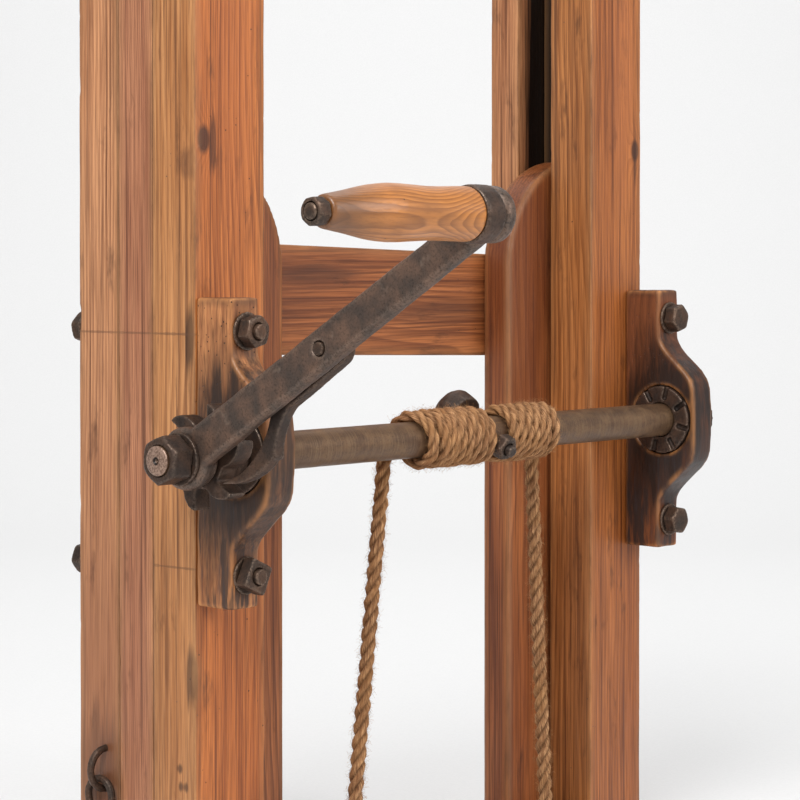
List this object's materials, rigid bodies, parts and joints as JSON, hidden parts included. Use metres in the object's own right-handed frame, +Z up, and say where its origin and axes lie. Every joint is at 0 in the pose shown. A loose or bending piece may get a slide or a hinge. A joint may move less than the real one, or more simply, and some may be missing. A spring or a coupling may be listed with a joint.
{
  "type": "crank rope hoist",
  "caption": "Hand-crank rope hoist between two grooved wooden posts: iron shaft in wooden bearing blocks, ratchet wheel, rope windings and a sliding carriage.",
  "frame": {"origin": "at the level of the posts' feet, midway between the two posts and midway in their depth", "axes": "+X along the shaft, away from the crank; +Y towards the back; +Z up"},
  "size_m": [0.7296, 0.4318, 0.712],
  "materials": {
    "post_pine": "aged oiled pine",
    "strip_pine": "aged oiled pine",
    "carriage_pine": "aged red-brown pine",
    "block_wood": "worn, greased, worm-holed wood",
    "grip_wood": "hand-polished turned wood",
    "forged_iron": "forged, worn dark iron",
    "shaft_iron": "dull brown iron bar",
    "bolt_iron": "rusty dark iron",
    "jute_rope": "laid jute"
  },
  "bodies": {
    "frame": {"left_front_stile": "post_pine", "left_groove_strip": "strip_pine", "left_back_stile": "post_pine", "right_front_stile": "post_pine", "right_groove_strip": "strip_pine", "right_back_stile": "post_pine", "left_bearing_block": "block_wood", "left_bearing_bush": "forged_iron", "right_bearing_block": "block_wood", "right_bearing_bush": "forged_iron", "left_lower_bolt": "bolt_iron", "left_lower_nut": "bolt_iron", "left_lower_front_washer": "bolt_iron", "left_lower_back_washer": "bolt_iron", "left_upper_bolt": "bolt_iron", "left_upper_nut": "bolt_iron", "left_upper_front_washer": "bolt_iron", "left_upper_back_washer": "bolt_iron", "right_lower_bolt": "bolt_iron", "right_lower_nut": "bolt_iron", "right_lower_front_washer": "bolt_iron", "right_lower_back_washer": "bolt_iron", "right_upper_bolt": "bolt_iron", "right_upper_nut": "bolt_iron", "right_upper_front_washer": "bolt_iron", "right_upper_back_washer": "bolt_iron", "post_staple": "bolt_iron", "left_rope_fall": "jute_rope", "right_rope_fall": "jute_rope"},
    "carriage": {"left_carriage_plate": "carriage_pine", "right_carriage_plate": "carriage_pine", "cross_rail": "carriage_pine", "tray_bearer": "carriage_pine", "left_rail_screw": "bolt_iron", "left_bearer_screw": "bolt_iron", "right_rail_screw": "bolt_iron", "right_bearer_screw": "bolt_iron", "left_rope_knot": "jute_rope", "left_rope_eye": "bolt_iron", "right_rope_knot": "jute_rope", "right_rope_eye": "bolt_iron"},
    "drum": {"drum_shaft": "shaft_iron", "end_collar": "forged_iron", "end_collar_pin": "bolt_iron", "rope_anchor_bolt": "forged_iron", "rope_anchor_nut": "bolt_iron", "ratchet_wheel": "forged_iron", "ratchet_wheel_pin": "bolt_iron", "crank_arm": "forged_iron", "crank_washer": "forged_iron", "crank_nut": "forged_iron", "pawl_rivet": "bolt_iron", "grip_spindle": "bolt_iron", "grip_nut": "bolt_iron", "left_rope_winding": "jute_rope", "right_rope_winding": "jute_rope"},
    "grip": {"grip": "grip_wood", "grip_collar": "forged_iron"},
    "drive_pawl": {"drive_pawl": "forged_iron"},
    "hang_ring": {"hang_ring": "bolt_iron"}
  },
  "joints": [
    {"name": "crank_turn", "type": "hinge", "parent": "frame", "child": "drum", "pos_m": [0, -0.093, 0.352], "axis": [1, 0, 0], "range_deg": [0, 480]},
    {"name": "carriage_lift", "type": "slide", "parent": "frame", "child": "carriage", "axis": [0, 0, 1], "range_m": [0, 0.145], "deforming": ["left_rope_fall", "right_rope_fall"]},
    {"name": "grip_spin", "type": "hinge", "parent": "drum", "child": "grip", "pos_m": [-0.38, -0.34464, 0.50711], "axis": [1, 0, 0], "continuous": true},
    {"name": "drive_pawl_lift", "type": "hinge", "parent": "drum", "child": "drive_pawl", "pos_m": [-0.285, -0.21303, 0.42599], "axis": [1, 0, 0], "range_deg": [-25, 0]},
    {"name": "ring_swing", "type": "hinge", "parent": "frame", "child": "hang_ring", "pos_m": [-0.254, 0.031, 0.129], "axis": [0, 1, 0], "range_deg": [-3, 70]}
  ],
  "couplings": [
    {"joint": "carriage_lift", "follows": "crank_turn", "m_per_rad": 0.0173}
  ]
}
